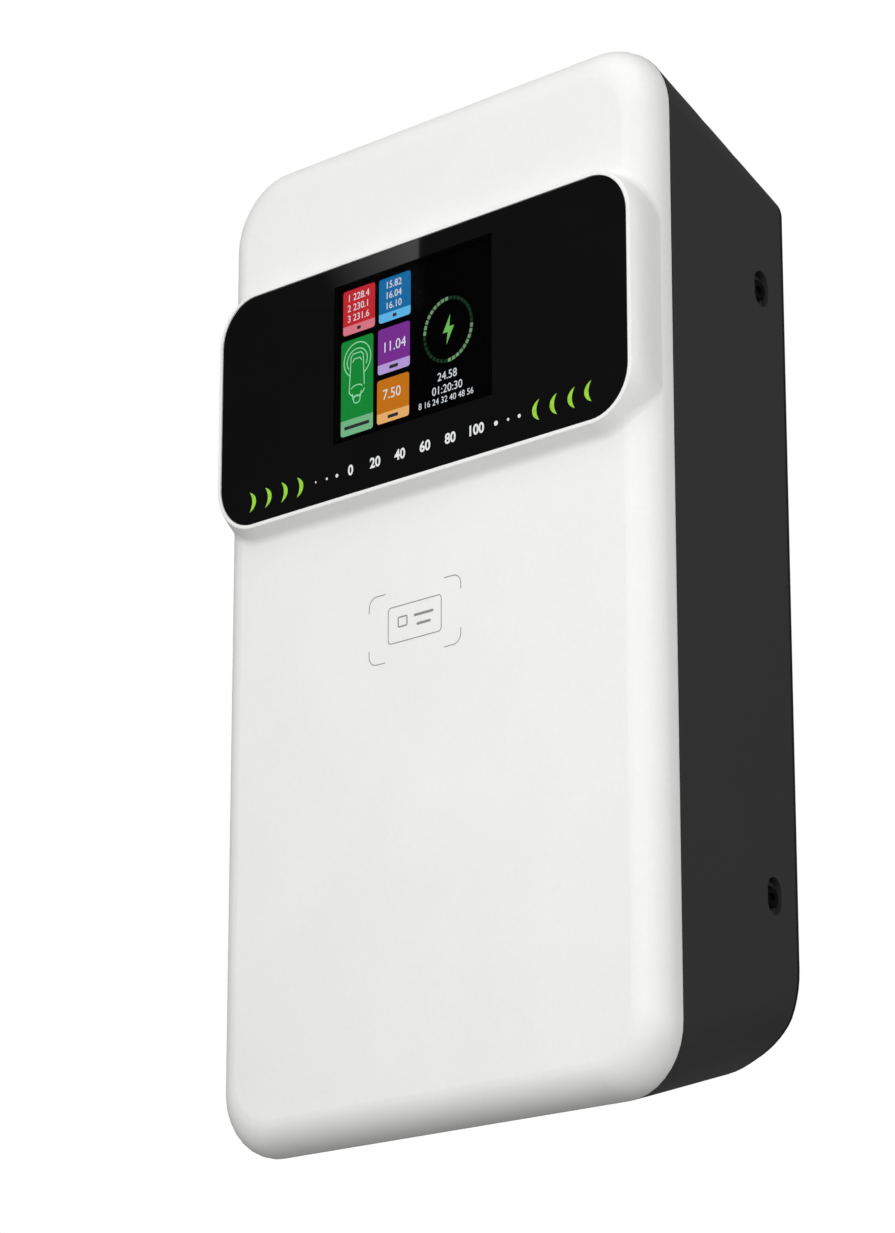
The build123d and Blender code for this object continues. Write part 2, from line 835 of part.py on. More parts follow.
def gland_dome(thread_radius, flats, cable_radius):
    """Domed nut that closes over the seal."""
    top = gland_hex_bottom - gland_stub / 2
    bottom = top - gland_dome_height
    nut = extrude(Plane.XY.offset(bottom) * hexagon(flats), amount=gland_dome_height)
    shape = turned([(0, bottom), (cable_radius + gland_seal_wall, bottom),
                    (thread_radius + gland_seal_wall, bottom + gland_dome_taper),
                    (flats / 2 * hexagon_corner, bottom + 2 * gland_dome_taper),
                    (flats / 2 * hexagon_corner, top), (0, top)])
    inside_floor = gland_hex_bottom - gland_neck_reach - gland_stub
    inside = turned([(0, inside_floor), (thread_radius + gland_fit, inside_floor),
                     (thread_radius + gland_fit, top + overrun), (0, top + overrun)])
    mouth = turned([(0, bottom - overrun), (cable_radius + gland_mouth_gap, bottom - overrun),
                    (cable_radius + gland_mouth_gap, top), (0, top)])
    return (nut & shape) - inside - mouth


hexagon_corner = 2 / 3 ** 0.5


def gland_seal(cable_radius):
    """Rubber sleeve that grips the cable, with a head that the dome nut presses."""
    bottom = gland_hex_bottom - gland_neck_reach - gland_stub
    head = bottom + gland_stub
    outer = cable_radius + gland_seal_wall
    return turned([(cable_radius, bottom), (outer + gland_seal_wall / 2, bottom),
                   (outer + gland_seal_wall / 2, head), (outer, head),
                   (outer, gland_hex_top), (cable_radius, gland_hex_top)])


def gland_locknut(thread_radius, flats):
    nut = hexagon(flats) - Circle(thread_radius + gland_fit)
    return extrude(Plane.XY.offset(wall) * nut, amount=locknut_height)


# Folded steel bracket that stays on the wall
def make_wall_bracket():
    outer_corner = bracket_bend_radius + bracket_thickness
    tall = 2 * bracket_flange
    outer = RectangleRounded(2 * bracket_half_width, tall, outer_corner)
    inner = RectangleRounded(
        2 * (bracket_half_width - bracket_thickness), tall - 2 * bracket_thickness, bracket_bend_radius)
    channel = Pos(0, -bracket_flange) * (outer - inner)
    keep = Pos(0, -bracket_flange / 2) * Rectangle(2 * bracket_half_width, bracket_flange)
    profile = channel & keep
    low = Plane.XY.offset(-bracket_height / 2)
    bracket = extrude(low * profile, amount=bracket_height)
    for end in (-1, 1):
        for side in (-1, 1):
            trim_top = end * bracket_height / 2
            trim_bottom = end * (bracket_height / 2 - bracket_flange_trim)
            trim = block(side * bracket_half_width - outer_corner, side * bracket_half_width + outer_corner,
                         min(trim_top, trim_bottom), max(trim_top, trim_bottom), 0,
                         bracket_flange + overrun)
            bracket -= trim
    window = rounded_plate(bracket_window_width, bracket_window_height, bracket_window_radius)
    bracket -= layer(window, -overrun, bracket_thickness + overrun)
    for x in (-bolt_spacing_x / 2, bolt_spacing_x / 2):
        for z in (-bolt_spacing_z / 2, bolt_spacing_z / 2):
            bracket -= rod(x, z, bolt_hole_radius, -overrun, bracket_thickness + overrun)
    for side, z in side_spots:
        hole = side_plane(side, z, side_screw_depth, bracket_half_width - 2 * bracket_thickness)
        bracket -= extrude(hole * Circle(m4_clearance_radius), amount=3 * bracket_thickness)
    return bracket


def make_press_nuts():
    nuts = []
    for side, z in side_spots:
        face = bracket_half_width - bracket_thickness - press_nut_height
        ring = Circle(press_nut_radius) - Circle(m4_radius + screw_gap)
        nuts.append(extrude(side_plane(side, z, side_screw_depth, face) * ring, amount=press_nut_height))
    return group(nuts)


def make_side_screws():
    screw = m4_screw(side_screw_length)
    return group(side_plane(side, z, side_screw_depth, side_screw_seat) * screw for side, z in side_spots)


parts = {
    "rear_housing": make_rear_housing(),
    "wall_seal": make_wall_seal(),
    "wall_bracket": make_wall_bracket(),
    "press_nuts": make_press_nuts(),
    "side_screws": make_side_screws(),
    "cover_seal": make_cover_seal(),
    "front_cover": make_front_cover(),
    "cover_screws": screws_from_behind(column_spots, screw_seat_depth, m4_screw(cover_screw_length)),
    "display_lens": make_display_lens(),
    "lens_tape": make_lens_tape(),
    "screen_panel": make_screen_panel(),
    "screen_carrier": make_screen_carrier(),
    "display_board": make_display_board(),
    "display_screws": screws_from_behind(
        display_spots, display_board_depth, m3_screw(m3_length - board_thickness)),
    "light_guide_left": make_light_guide(-1),
    "light_guide_right": make_light_guide(1),
    "reader_board": make_reader_board(),
    "reader_screws": screws_from_behind(
        reader_spots, reader_front - board_thickness, m3_screw(reader_standoff)),
    "main_board": make_main_board(),
    "board_screws": make_board_screws(),
    "power_relays": make_power_relays(),
    "current_sensor": make_current_sensor(),
    "input_terminal": make_terminal(-1),
    "output_terminal": make_terminal(1),
    "terminal_screws": make_terminal_screws(),
    "supply_module": make_supply_module(),
    "filter_capacitors": make_filter_capacitors(),
    "line_choke": make_line_choke(),
    "surge_arresters": make_surge_arresters(),
    "radio_module": make_radio_module(),
    "plug_headers": make_plug_headers(),
    "gland_bodies": group(gland_spot(x) * gland_body(r, flats, cable) for x, r, flats, cable in glands),
    "gland_washers": group(gland_spot(x) * gland_washer(r, flats) for x, r, flats, cable in glands),
    "gland_domes": group(gland_spot(x) * gland_dome(r, flats, cable) for x, r, flats, cable in glands),
    "gland_seals": group(gland_spot(x) * gland_seal(cable) for x, r, flats, cable in glands),
    "gland_locknuts": group(gland_spot(x) * gland_locknut(r, flats) for x, r, flats, cable in glands),
}

os.makedirs("parts", exist_ok=True)
for name, shape in parts.items():
    export_step(shape, f"parts/{name}.step")
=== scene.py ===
import math

import bmesh
import bpy
from mathutils import Matrix, Vector


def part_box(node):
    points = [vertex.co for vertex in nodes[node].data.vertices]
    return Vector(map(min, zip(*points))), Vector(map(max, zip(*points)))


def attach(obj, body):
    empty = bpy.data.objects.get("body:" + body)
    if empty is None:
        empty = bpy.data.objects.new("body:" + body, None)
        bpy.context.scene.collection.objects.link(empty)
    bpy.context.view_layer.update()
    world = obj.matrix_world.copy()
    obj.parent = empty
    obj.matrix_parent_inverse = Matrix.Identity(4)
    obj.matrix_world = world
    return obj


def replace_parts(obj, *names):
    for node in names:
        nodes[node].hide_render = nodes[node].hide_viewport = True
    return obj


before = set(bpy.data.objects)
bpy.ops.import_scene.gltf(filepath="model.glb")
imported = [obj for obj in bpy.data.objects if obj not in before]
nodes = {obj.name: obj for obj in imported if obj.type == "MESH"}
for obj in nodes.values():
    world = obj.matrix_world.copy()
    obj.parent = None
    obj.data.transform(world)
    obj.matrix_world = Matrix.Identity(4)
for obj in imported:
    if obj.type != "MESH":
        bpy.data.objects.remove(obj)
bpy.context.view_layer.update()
mm = 0.001


# Wall bracket: 2 mm steel sheet, punched and folded, with press nuts in its flanges.
# It stays on the wall and carries the box. The zinc coat is passivated, so it is
# bright but cloudy, and the sheet keeps faint rolling marks along its length.
class Field:
    """One socket of a material, with its sums and products written as Python ones."""

    def __init__(self, tree, socket):
        self.tree, self.socket = tree, socket

    def node(self, kind, settings, values, output=0):
        """Adds a node to the same material and returns one of its outputs."""
        made = self.tree.nodes.new(kind)
        for name, setting in settings.items():
            setattr(made, name, setting)
        for name, value in values.items():
            if isinstance(value, Field):
                self.tree.links.new(value.socket, made.inputs[name])
            else:
                made.inputs[name].default_value = value
        return Field(self.tree, made.outputs[output])

    def math(self, operation, *values):
        return self.node("ShaderNodeMath", {"operation": operation}, dict(enumerate(values)))

    def __add__(self, other):
        return self.math("ADD", self, other)

    def __sub__(self, other):
        return self.math("SUBTRACT", self, other)

    def __rsub__(self, other):
        return self.math("SUBTRACT", other, self)

    def __mul__(self, other):
        return self.math("MULTIPLY", self, other)

    def __gt__(self, other):
        return self.math("GREATER_THAN", self, other)

    def __lt__(self, other):
        return self.math("LESS_THAN", self, other)

    __radd__, __rmul__ = __add__, __mul__

    def noise(self, size, detail=3.0, stretch=(1.0, 1.0, 1.0)):
        """Cloudy pattern around one half, with spots of about this size in metres."""
        placed = self.node("ShaderNodeMapping", {}, {"Vector": self, "Scale": stretch})
        return placed.node("ShaderNodeTexNoise", {}, {"Vector": placed, "Scale": 1 / size, "Detail": detail})

    def blend(self, first, second):
        """Colour that goes from the first to the second as this value goes from 0 to 1."""
        return self.node("ShaderNodeMix", {"data_type": "RGBA"}, {0: self, 6: first, 7: second}, 2)

    def axis(self, name):
        """One coordinate of a vector."""
        return self.node("ShaderNodeSeparateXYZ", {}, {0: self}, "XYZ".index(name))

    def relief(self, height, strength=1.0):
        """Surface that rises by this field times a height in metres."""
        return self.node("ShaderNodeBump", {}, {"Height": self, "Distance": height, "Strength": strength})

    def drives(self, shader, name):
        self.tree.links.new(self.socket, shader.inputs[name])


def start_finish(name, constants):
    """New material with its fixed values, its shader and its Object coordinates."""
    material = bpy.data.materials.new(name)
    material.use_nodes = True
    tree = material.node_tree
    shader = tree.nodes["Principled BSDF"]
    for socket, value in constants.items():
        shader.inputs[socket].default_value = value
    return material, shader, Field(tree, tree.nodes.new("ShaderNodeTexCoord").outputs["Object"])


def shade(colour, factor):
    """Colour with its brightness scaled."""
    return (*[channel * factor for channel in colour], 1.0)


def dress(material, *names):
    """Gives a finish to nodes of the box."""
    for name in names:
        nodes[name].data.materials.clear()
        nodes[name].data.materials.append(material)


def metal_finish(name, colour, roughness, grain, stretch=(1.0, 1.0, 1.0)):
    """Metal with cloudy colour, uneven polish and a fine directional grain."""
    material, shader, place = start_finish(name, {"Metallic": 1.0})
    cloud = place.noise(9 * mm)
    marks = place.noise(grain, detail=2.0, stretch=stretch)
    cloud.blend(shade(colour, 0.82), shade(colour, 1.12)).drives(shader, "Base Color")
    (roughness + 0.18 * (cloud - 0.5) + 0.1 * (marks - 0.5)).drives(shader, "Roughness")
    marks.relief(0.02 * mm, strength=0.4).drives(shader, "Normal")
    return material


sheet_zinc = metal_finish("zinc_plated_sheet", (0.60, 0.61, 0.62), roughness=0.42, grain=0.5 * mm,
                          stretch=(1.0, 1.0, 0.08))
dress(sheet_zinc, "wall_bracket")
turned_steel = metal_finish("plated_screw_steel", (0.42, 0.41, 0.39), roughness=0.34, grain=0.3 * mm)
dress(turned_steel, "press_nuts", "cover_screws", "display_screws", "reader_screws", "board_screws",
      "terminal_screws")


# Rear housing: one injection-moulded shell in charcoal plastic, drafted towards the wall
# and steepest at its top. The mould is spark-eroded, which leaves an even fine grain. A
# rubber strip seals it to the wall, and its side screws are blackened.
def moulded_finish(name, colour, roughness, constants, grain_height=0.012 * mm):
    """Moulded plastic with a fine eroded grain and slight unevenness."""
    material, shader, place = start_finish(name, constants)
    cloud = place.noise(40 * mm)
    grain = place.noise(0.45 * mm, detail=2.0)
    speck = place.noise(1.6 * mm, detail=4.0)
    (0.6 * cloud + 0.4 * speck).blend(shade(colour, 0.94), shade(colour, 1.06)).drives(shader, "Base Color")
    (roughness + 0.1 * (cloud - 0.5) + 0.08 * (grain - 0.5)).drives(shader, "Roughness")
    grain.relief(grain_height, strength=0.5).drives(shader, "Normal")
    return material


charcoal_colour, black_oxide_colour = (0.043, 0.043, 0.044), (0.018, 0.018, 0.02)
charcoal = moulded_finish("charcoal_moulding", charcoal_colour, roughness=0.42,
                          constants={"Specular IOR Level": 0.3})
black_oxide = metal_finish("black_oxide_steel", black_oxide_colour, roughness=0.45, grain=0.3 * mm)
dress(black_oxide, "side_screws")

# How the plain solid narrows from the seam to the wall, and how much tighter and steeper the
# real shell is than that. The corners at the top are under 1 and those at the bottom under -1.
housing_low, housing_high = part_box("rear_housing")
seam_depth, half_across, half_along = -housing_low.y, housing_high.x, housing_high.z
plain_inset, plain_drop, plain_rise = 12 * mm, 12 * mm, 16 * mm
plain_corner = 37 * mm
wall_corners = {1: 9 * mm, -1: 34 * mm}
drawn_corners = {1: 25.4 * mm, -1: 22 * mm}
drawn_drop, drawn_rise = 20.6 * mm, 4.2 * mm
drop_start, drop_full = 112 * mm, 155 * mm
rise_start, rise_full = 141 * mm, 156 * mm
nudge, merge_gap = 0.02 * mm, 0.001 * mm


def corner_reach(turn, was, now):
    """Distance from an old corner's centre to the outline with the new radius, in one direction."""
    step, flat, steep = was - now, math.cos(turn), math.sin(turn)
    if was * steep < step * flat:
        return was / flat
    if was * flat < step * steep:
        return was / steep
    middle = step * (flat + steep)
    return middle + math.sqrt(max(middle * middle - 2 * step * step + now * now, 0))


def drawn(place):
    """Place of a point of the shell once its corners are tighter and its ends slope more to the wall."""
    share = min(max(-place.y / seam_depth, 0), 1)
    end = 1 if place.z > 0 else -1
    was = wall_corners[end] + (plain_corner - wall_corners[end]) * share
    now = wall_corners[end] + (drawn_corners[end] - wall_corners[end]) * share
    corner_x = half_across - plain_inset * (1 - share) - was
    corner_z = half_along - (plain_drop if end > 0 else plain_rise) * (1 - share) - was
    out_x, out_z = abs(place.x) - corner_x, abs(place.z) - corner_z
    x, z = place.x, place.z
    if out_x > 0 and out_z > 0:
        growth = corner_reach(math.atan2(out_z, out_x), was, now) / was
        x, z = math.copysign(corner_x + out_x * growth, x), end * (corner_z + out_z * growth)
    first, last = (drop_start, drop_full) if end > 0 else (rise_start, rise_full)
    slide = min(max((abs(z) - first) / (last - first), 0), 1) * (1 - share)
    return Vector((x, place.y, z - end * slide * (drawn_drop if end > 0 else drawn_rise)))


def hang(mesh, name, material):
    """Puts a mesh that is in place on the box, with its finish."""
    mesh.materials.clear()
    mesh.materials.append(material)
    piece = bpy.data.objects.new(name, mesh)
    bpy.context.scene.collection.objects.link(piece)
    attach(piece, "root")
    return piece


def leaning(place, facing):
    """Direction that a point of the shell faces once it is redrawn."""
    along = facing.orthogonal().normalized()
    beside = facing.cross(along)
    first = drawn(place + along * nudge) - drawn(place - along * nudge)
    second = drawn(place + beside * nudge) - drawn(place - beside * nudge)
    turned = first.cross(second)
    return turned.normalized() if turned.length > 0 else facing


def redraw(name, material):
    """Shell piece with the corners and slopes of the real one, in place of the plain solid."""
    plain = nodes[name].data
    made = bmesh.new()
    made.from_mesh(plain)
    kept_facing = made.loops.layers.float_vector.new("facing")
    turns = [corner for face in made.faces for corner in face.loops]
    for corner, normal in zip(turns, plain.corner_normals):
        corner[kept_facing] = leaning(corner.vert.co, normal.vector)
    bmesh.ops.remove_doubles(made, verts=made.verts, dist=merge_gap)
    for vertex in made.verts:
        vertex.co = drawn(vertex.co)
    mesh = bpy.data.meshes.new(name + "_drawn")
    made.to_mesh(mesh)
    made.free()
    facings = [corner.vector.copy() for corner in mesh.attributes["facing"].data]
    mesh.attributes.remove(mesh.attributes["facing"])
    mesh.shade_smooth()
    mesh.normals_split_custom_set(facings)
    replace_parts(hang(mesh, name + "_drawn", material), name)


redraw("rear_housing", charcoal)


def rubber_finish(name, colour):
    """Matt rubber with a dusty bloom."""
    material, shader, place = start_finish(name, {"Specular IOR Level": 0.25})
    bloom = place.noise(6 * mm, detail=5.0)
    bloom.blend(shade(colour, 0.8), shade(colour, 1.5)).drives(shader, "Base Color")
    (0.78 + 0.15 * (bloom - 0.5)).drives(shader, "Roughness")
    place.noise(0.6 * mm).relief(0.02 * mm, strength=0.5).drives(shader, "Normal")
    return material


black_rubber = rubber_finish("black_rubber", (0.012, 0.012, 0.012))
dress(black_rubber, "gland_washers", "gland_seals", "lens_tape")
redraw("wall_seal", black_rubber)
redraw("cover_seal", black_rubber)

# Cable glands: nylon bodies with domed nuts, screwed into the recess under the housing.
# Each dome presses a rubber sleeve around its cable.
gland_nylon = moulded_finish("gland_nylon", (0.018, 0.018, 0.019), roughness=0.38,
                             constants={"Specular IOR Level": 0.4})
dress(gland_nylon, "gland_bodies", "gland_domes", "gland_locknuts")

# Inner parts: the boards and what is soldered to them. They are closed in by the cover.
# The boards are glass fibre under green solder mask, and the cases are moulded.
board_green = moulded_finish("green_solder_mask", (0.015, 0.11, 0.045), roughness=0.3,
                             constants={"Coat Weight": 0.3})
dress(board_green, "main_board", "display_board", "reader_board")
case_colours = {
    "power_relays": (0.025, 0.025, 0.03),
    "current_sensor": (0.04, 0.04, 0.045),
    "input_terminal": (0.06, 0.2, 0.08),
    "output_terminal": (0.06, 0.2, 0.08),
    "supply_module": (0.018, 0.018, 0.018),
    "line_choke": (0.3, 0.11, 0.03),
    "surge_arresters": (0.02, 0.09, 0.3),
    "plug_headers": (0.7, 0.66, 0.55),
    "screen_carrier": (0.02, 0.02, 0.02),
}
for node_name, case_colour in case_colours.items():
    dress(moulded_finish(node_name + "_case", case_colour, roughness=0.45, constants={}), node_name)
can_metal = metal_finish("pressed_can", (0.72, 0.72, 0.73), roughness=0.3, grain=0.4 * mm)
dress(can_metal, "filter_capacitors", "radio_module")

# Front cover: one moulding in warm white, with soft edges and a bar that stands proud
# around the display. Its grain is finer than the housing's, so it looks satin.
white_colour = (0.86, 0.86, 0.845)
warm_white = moulded_finish("warm_white_moulding", white_colour, roughness=0.46,
                            constants={"Specular IOR Level": 0.35}, grain_height=0.006 * mm)
redraw("front_cover", warm_white)


# Card mark: corner brackets and a card with its chip, pad-printed in grey on the flat of
# the cover. The reader board sits right behind it.
def raise_piece(made, name, material):
    """Makes an object of the box from a finished bmesh."""
    bmesh.ops.recalc_face_normals(made, faces=made.faces)
    mesh = bpy.data.meshes.new(name)
    made.to_mesh(mesh)
    made.free()
    return hang(mesh, name, material)


corner_steps = 6


def rounded_face(width, height, corner, rounded=("low", "high")):
    """Flat face around the origin, with its lower or upper corners rounded."""
    made = bmesh.new()
    bmesh.ops.create_grid(made, x_segments=1, y_segments=1, size=0.5)
    bmesh.ops.scale(made, vec=(width, height, 1), verts=made.verts)
    chosen = [v for v in made.verts if ("low" if v.co.y < 0 else "high") in rounded]
    bmesh.ops.bevel(made, geom=chosen, offset=corner, segments=corner_steps, profile=0.5, affect="VERTICES",
                    material=-1)
    return made


def keep_line(made, line):
    """Leaves only a line of this width around the edge of a face."""
    bmesh.ops.inset_region(made, faces=made.faces[:], thickness=line, use_boundary=True,
                           use_even_offset=True)
    inner = max(made.faces, key=lambda face: len(face.verts))
    bmesh.ops.delete(made, geom=[inner], context="FACES_ONLY")


def stand(made, x, z, y, thickness):
    """Gives a flat shape its thickness and stands it on a plane that faces the front."""
    grown = bmesh.ops.extrude_face_region(made, geom=made.faces[:])["geom"]
    raised = [v for v in grown if isinstance(v, bmesh.types.BMVert)]
    bmesh.ops.translate(made, vec=(0, 0, thickness), verts=raised)
    bmesh.ops.rotate(made, cent=(0, 0, 0), matrix=Matrix.Rotation(math.pi / 2, 3, "X"), verts=made.verts)
    bmesh.ops.translate(made, vec=(x, y, z), verts=made.verts)


def merge(shapes):
    """Joins several bmeshes into the first."""
    first = shapes[0]
    for shape in shapes[1:]:
        spare = bpy.data.meshes.new("spare")
        shape.to_mesh(spare)
        shape.free()
        first.from_mesh(spare)
        bpy.data.meshes.remove(spare)
    return first


def ink_finish(name, colour):
    """Screen-printed ink, slightly uneven in cover and gloss."""
    material, shader, place = start_finish(name, {"Specular IOR Level": 0.3})
    patch = place.noise(0.8 * mm, detail=4.0)
    patch.blend(shade(colour, 0.88), shade(colour, 1.08)).drives(shader, "Base Color")
    (0.45 + 0.2 * (patch - 0.5)).drives(shader, "Roughness")
    return material


bar_raise = 5 * mm
cover_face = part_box("front_cover")[0].y + bar_raise
print_thickness = 0.05 * mm
grey_ink = ink_finish("grey_pad_print", (0.26, 0.26, 0.26))
mark_x, mark_z = -5.0 * mm, -6.3 * mm
bracket_size = (43.0 * mm, 24.0 * mm)
bracket_corner = 3.6 * mm
bracket_reach = (7.8 * mm, 5.4 * mm)
mark_line = 0.32 * mm
corners = []
for side in (-1, 1):
    for end in (-1, 1):
        corner = rounded_face(*bracket_size, bracket_corner)
        keep_line(corner, mark_line)
        cuts = [(side * (bracket_size[0] / 2 - bracket_reach[0]), 0, side, 0),
                (0, end * (bracket_size[1] / 2 - bracket_reach[1]), 0, end)]
        for cut_x, cut_y, normal_x, normal_y in cuts:
            bmesh.ops.bisect_plane(corner, geom=corner.verts[:] + corner.edges[:] + corner.faces[:],
                                   plane_co=(cut_x, cut_y, 0), plane_no=(normal_x, normal_y, 0),
                                   clear_inner=True)
        corners.append(corner)
brackets = merge(corners)
stand(brackets, mark_x, mark_z, cover_face, print_thickness)
raise_piece(brackets, "card_mark_corners", grey_ink)
card_size, card_corner, card_lift = (25.0 * mm, 12.8 * mm), 1.5 * mm, 0.3 * mm
card_outline = rounded_face(*card_size, card_corner)
keep_line(card_outline, mark_line)
stand(card_outline, mark_x, mark_z + card_lift, cover_face, print_thickness)
raise_piece(card_outline, "card_mark_outline", grey_ink)
chip_size, chip_corner, chip_line = (4.6 * mm, 3.8 * mm), 0.7 * mm, 0.5 * mm
chip_aside, chip_lift = -5.6 * mm, 0.9 * mm
chip = rounded_face(*chip_size, chip_corner)
keep_line(chip, chip_line)
stand(chip, mark_x + chip_aside, mark_z + chip_lift, cover_face, print_thickness)
bar_lengths, bar_height, bar_corner = (9.0 * mm, 6.5 * mm), 0.9 * mm, 0.4 * mm
bar_aside, bar_lift, bar_step = 4.2 * mm, 1.9 * mm, 3.2 * mm
inner_marks = [chip]
for row, length in enumerate(bar_lengths):
    bar = rounded_face(length, bar_height, bar_corner)
    stand(bar, mark_x + bar_aside, mark_z + bar_lift - bar_step * row, cover_face, print_thickness)
    inner_marks.append(bar)
raise_piece(merge(inner_marks), "card_mark_chip", grey_ink)

# Display lens: a black acrylic plate, printed behind except for the window over the
# screen, polished in front. Light from the guides shows through small clear arcs.
window_left, window_right = -39.4 * mm, 35.3 * mm
window_bottom, window_top = 61.7 * mm, 118.6 * mm
lens_colour = (0.0050, 0.0050, 0.0054)
acrylic, acrylic_shader, place = start_finish(
    "black_printed_acrylic", {"IOR": 1.49, "Specular IOR Level": 0.32})
across, up = place.axis("X"), place.axis("Z")
window = (across > window_left) * (across < window_right) * (up > window_bottom) * (up < window_top)
smear = place.noise(25 * mm, detail=4.0)
smear.blend(shade(lens_colour, 0.9), shade(lens_colour, 1.25)).drives(acrylic_shader, "Base Color")
(0.012 + 0.02 * smear).drives(acrylic_shader, "Roughness")
(1 - 0.96 * window).drives(acrylic_shader, "Alpha")
dress(acrylic, "display_lens")


# Prints on the lens: a number scale and fading dots in white ink, which glow on their own as painted light,
# and four clear arcs at each end of it, which the light guides behind them light in lime.
def glow_finish(name, colour, strength, deep, spot=3 * mm):
    """Field that gives off its own light, a little brighter in patches, as a backlight leaves it; on the
    white lens print this glow is painted light.
    """
    material, shader, place = start_finish(name, {
        "Base Color": shade(colour, 0.05), "Roughness": 0.5, "Specular IOR Level": 0.02,
        "Emission Strength": strength})
    light = place.noise(spot, detail=2.0)
    light.blend(shade(colour, deep), shade(colour, 1.0)).drives(shader, "Emission Color")
    return material


def numerals(name, figures, x, z, height, y, material, weight=0.0):
    """Figures of one height, centred on a place, as a thin raised print."""
    figure_share = 0.7
    writing = bpy.data.curves.new(name, "FONT")
    writing.body = figures
    writing.align_x = "CENTER"
    writing.align_y = "CENTER"
    writing.size = height / figure_share
    writing.offset = weight
    writing.extrude = print_thickness / 2
    writing.resolution_u = 4
    holder = bpy.data.objects.new(name + "_writing", writing)
    bpy.context.scene.collection.objects.link(holder)
    mesh = bpy.data.meshes.new_from_object(holder)
    bpy.data.objects.remove(holder)
    mesh.transform(Matrix.Translation((x, y, z)) @ Matrix.Rotation(math.pi / 2, 4, "X"))
    mesh.name = name
    return hang(mesh, name, material)


def disc(x, z, radius, y):
    """Small round print."""
    made = bmesh.new()
    bmesh.ops.create_circle(made, cap_ends=True, segments=20, radius=radius)
    stand(made, x, z, y, print_thickness)
    return made


lens_low, lens_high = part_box("display_lens")
lens_face = lens_low.y
# The white print glows on its own: painted light in place of the light that falls on white ink.
glowing_white_print = glow_finish("painted_glow_white_lens_print", (0.86, 0.87, 0.88), strength=0.9, deep=0.9)
scale_left, scale_right = -30.9 * mm, 27.9 * mm
scale_z_left, scale_z_right = 50.7 * mm, 51.2 * mm
scale_values = (0, 20, 40, 60, 80, 100)
scale_height, scale_weight = 3.5 * mm, 0.14 * mm
for index, value in enumerate(scale_values):
    share = index / (len(scale_values) - 1)
    numerals(f"scale_{value}", str(value), scale_left + share * (scale_right - scale_left),
             scale_z_left + share * (scale_z_right - scale_z_left), scale_height, lens_face, glowing_white_print,
             scale_weight)
dot_places = ((-47.8, 50.4, 0.35), (-42.4, 50.4, 0.45), (-37.5, 50.4, 0.65), (37.1, 51.3, 0.85),
              (42.6, 51.3, 0.5), (47.6, 51.3, 0.65))
dots = [disc(x * mm, z * mm, radius * mm, lens_face) for x, z, radius in dot_places]
raise_piece(merge(dots), "scale_dots", glowing_white_print)

arc_lime = glow_finish("lime_lit_arc", (0.42, 0.88, 0.07), strength=0.95, deep=0.4, spot=1.2 * mm)
arc_height = 7.2 * mm
arc_bulge, arc_hollow = 4.2 * mm, 1.7 * mm
outer_reach_share, inner_reach_share = 0.3, 0.16


def lit_arc(name, x, z, side):
    """Crescent between two curves that meet in points, bulging to one side."""
    outline = bpy.data.curves.new(name, "CURVE")
    outline.dimensions = "2D"
    outline.fill_mode = "BOTH"
    outline.extrude = print_thickness / 2
    outline.resolution_u = 10
    spline = outline.splines.new("BEZIER")
    spline.bezier_points.add(1)
    spline.use_cyclic_u = True
    low, high = spline.bezier_points
    outer_reach, inner_reach = arc_height * outer_reach_share, arc_height * inner_reach_share
    low.co, high.co = (0, -arc_height / 2, 0), (0, arc_height / 2, 0)
    low.handle_right = (side * arc_bulge, -outer_reach, 0)
    high.handle_left = (side * arc_bulge, outer_reach, 0)
    high.handle_right = (side * arc_hollow, inner_reach, 0)
    low.handle_left = (side * arc_hollow, -inner_reach, 0)
    holder = bpy.data.objects.new(name + "_outline", outline)
    bpy.context.scene.collection.objects.link(holder)
    mesh = bpy.data.meshes.new_from_object(holder)
    bpy.data.objects.remove(holder)
    mesh.transform(Matrix.Translation((x, lens_face, z)) @ Matrix.Rotation(math.pi / 2, 4, "X"))
    mesh.name = name
    return hang(mesh, name, arc_lime)


arc_tips_left = ((-80.6, 50.5), (-72.8, 50.5), (-64.8, 50.6), (-57.1, 50.6))
arc_tips_right = ((56.5, 51.4), (64.3, 51.5), (72.2, 51.7), (79.5, 52.2))
for index, (arc_x, arc_z) in enumerate(arc_tips_left):
    lit_arc(f"lit_arc_left_{index + 1}", arc_x * mm, arc_z * mm, 1)
for index, (arc_x, arc_z) in enumerate(arc_tips_right):
    lit_arc(f"lit_arc_right_{index + 1}", arc_x * mm, arc_z * mm, -1)
guide_dim, guide_bright = (0.2, 0.5, 0.04, 1), (0.4, 0.9, 0.1, 1)
guide_finish, guide_shader, place = start_finish(
    "clear_guide", {"Transmission Weight": 0.7, "Emission Strength": 0.4, "Roughness": 0.15})
place.noise(4 * mm).blend(guide_dim, guide_bright).drives(guide_shader, "Emission Color")
dress(guide_finish, "light_guide_left", "light_guide_right")

# Screen: a dark glass panel in a carrier just behind the lens. It lights five coloured
# tiles, each with a pale strip below, and a ring that shows the charge.
glass, glass_shader, place = start_finish("screen_glass", {"IOR": 1.5, "Specular IOR Level": 0.0})
glass_clean, glass_dusty = (0.0006, 0.0006, 0.0008, 1), (0.0012, 0.0012, 0.0015, 1)
smear = place.noise(18 * mm)
smear.blend(glass_clean, glass_dusty).drives(glass_shader, "Base Color")
(0.6 + 0.08 * smear).drives(glass_shader, "Roughness")
dress(glass, "screen_panel")
screen_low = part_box("screen_panel")[0]
mask_size, mask_corner, mask_thickness = (81 * mm, 62 * mm), 0.5 * mm, 0.04 * mm
mask_x, mask_z = -1 * mm, 89.5 * mm
screen_mask = rounded_face(*mask_size, mask_corner)
stand(screen_mask, mask_x, mask_z, screen_low.y, mask_thickness)
raise_piece(screen_mask, "screen_black_field", glass)
screen_face = screen_low.y - mask_thickness
field_thickness = 0.06 * mm
tile_corner = 1.1 * mm
